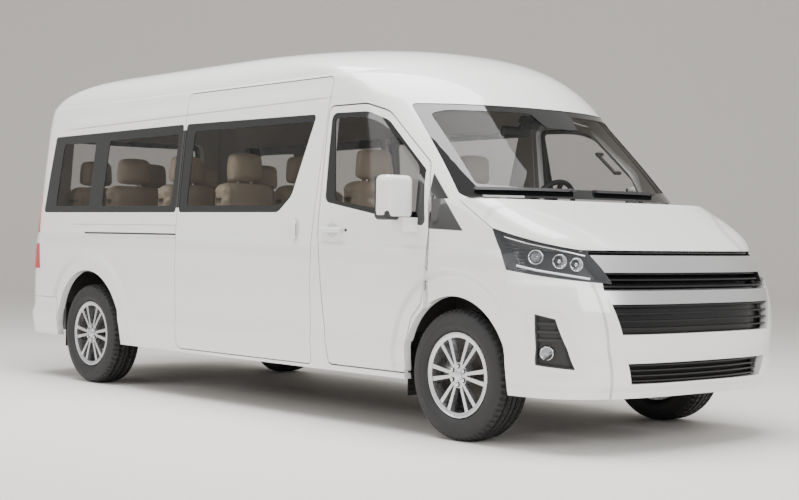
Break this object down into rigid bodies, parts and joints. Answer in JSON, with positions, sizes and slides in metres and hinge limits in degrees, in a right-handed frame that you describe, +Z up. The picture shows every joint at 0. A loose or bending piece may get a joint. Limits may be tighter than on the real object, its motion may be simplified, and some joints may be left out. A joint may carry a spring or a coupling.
{
  "type": "minibus",
  "caption": "High-roof long-wheelbase passenger van with a short sloping nose, swinging front doors, lifting tailgate and hood, steered front wheels and a furnished cabin.",
  "frame": {"origin": "on the ground under the middle of the vehicle's length and width", "axes": "+X towards the front, +Y to the vehicle's left, +Z up"},
  "size_m": [5.9157, 2.325, 2.2753],
  "materials": {
    "paint": "white pearl",
    "glass": "tinted glass",
    "clear_glass": "clear glass",
    "black_plastic": "matt black",
    "silver": "satin silver",
    "lamp": "clear lens",
    "red_lamp": "red lens",
    "rubber": "black rubber",
    "tyre": "black tyre",
    "rim": "silver alloy",
    "steel": "black chassis paint",
    "iron": "cast iron",
    "leather": "beige leather",
    "floor": "grey floor"
  },
  "bodies": {
    "body": {"roof_panel": "paint", "side_panel_left": "paint", "side_panel_right": "paint", "sliding_door": "paint", "fender_left": "paint", "fender_right": "paint", "front_bumper": "paint", "front_grille": "silver", "headlamps": "lamp", "fog_lamps": "black_plastic", "rear_bumper": "paint", "tail_lamps": "red_lamp", "windscreen": "clear_glass", "side_glass_left": "glass", "quarter_glass_right": "glass", "sliding_door_glass": "glass", "wipers": "black_plastic", "chassis_frame": "steel", "floor_pan": "floor", "front_suspension": "steel", "rear_axle": "iron", "leaf_springs": "steel", "engine_block": "iron", "propshaft": "steel", "fuel_tank": "black_plastic", "exhaust_pipe": "iron", "spare_wheel": "tyre", "mud_flaps": "rubber", "front_seats": "leather", "passenger_seats": "leather", "dashboard": "black_plastic"},
    "hood": {"hood": "paint"},
    "tailgate": {"tailgate": "paint", "tailgate_glass": "glass"},
    "door_left": {"front_door_left": "paint", "door_glass_left": "clear_glass", "mirror_left": "paint"},
    "door_right": {"front_door_right": "paint", "door_glass_right": "clear_glass", "mirror_right": "paint"},
    "steering_wheel": {"steering_wheel": "black_plastic"},
    "knuckle_left": {"knuckle_left": "iron"},
    "knuckle_right": {"knuckle_right": "iron"},
    "wheel_front_left": {"tyre_front_left": "tyre", "rim_front_left": "rim"},
    "wheel_front_right": {"tyre_front_right": "tyre", "rim_front_right": "rim"},
    "wheel_rear_left": {"tyre_rear_left": "tyre", "rim_rear_left": "rim"},
    "wheel_rear_right": {"tyre_rear_right": "tyre", "rim_rear_right": "rim"}
  },
  "joints": [
    {"name": "door_left_swing", "type": "hinge", "parent": "body", "child": "door_left", "pos_m": [1.7875, 0.961, 0.86], "axis": [0, 0.0262, -0.9997], "range_deg": [0, 68]},
    {"name": "door_right_swing", "type": "hinge", "parent": "body", "child": "door_right", "pos_m": [1.7875, -0.961, 0.86], "axis": [0, 0.0262, 0.9997], "range_deg": [0, 68]},
    {"name": "tailgate_lift", "type": "hinge", "parent": "body", "child": "tailgate", "pos_m": [-2.8315, 0, 2.0165], "axis": [0, 1, 0], "range_deg": [0, 85]},
    {"name": "hood_lift", "type": "hinge", "parent": "body", "child": "hood", "pos_m": [1.9965, 0, 1.3], "axis": [0, -1, 0], "range_deg": [0, 45]},
    {"name": "steering_wheel_turn", "type": "hinge", "parent": "body", "child": "steering_wheel", "pos_m": [1.4025, 0.42, 1.285], "axis": [-0.8829, 0, 0.4695], "range_deg": [-540, 540]},
    {"name": "steer_left", "type": "hinge", "parent": "body", "child": "knuckle_left", "pos_m": [2.0025, 0.7, 0.357], "axis": [0, 0, 1], "range_deg": [-33, 33]},
    {"name": "steer_right", "type": "hinge", "parent": "body", "child": "knuckle_right", "pos_m": [2.0025, -0.7, 0.357], "axis": [0, 0, 1], "range_deg": [-33, 33]},
    {"name": "wheel_front_left_spin", "type": "hinge", "parent": "knuckle_left", "child": "wheel_front_left", "pos_m": [2.0025, 0.836, 0.357], "axis": [0, 1, 0], "continuous": true},
    {"name": "wheel_front_right_spin", "type": "hinge", "parent": "knuckle_right", "child": "wheel_front_right", "pos_m": [2.0025, -0.836, 0.357], "axis": [0, 1, 0], "continuous": true},
    {"name": "wheel_rear_left_spin", "type": "hinge", "parent": "body", "child": "wheel_rear_left", "pos_m": [-1.8575, 0.836, 0.357], "axis": [0, 1, 0], "continuous": true},
    {"name": "wheel_rear_right_spin", "type": "hinge", "parent": "body", "child": "wheel_rear_right", "pos_m": [-1.8575, -0.836, 0.357], "axis": [0, 1, 0], "continuous": true}
  ],
  "couplings": [
    {"joint": "steer_right", "follows": "steer_left", "ratio": 1}
  ]
}
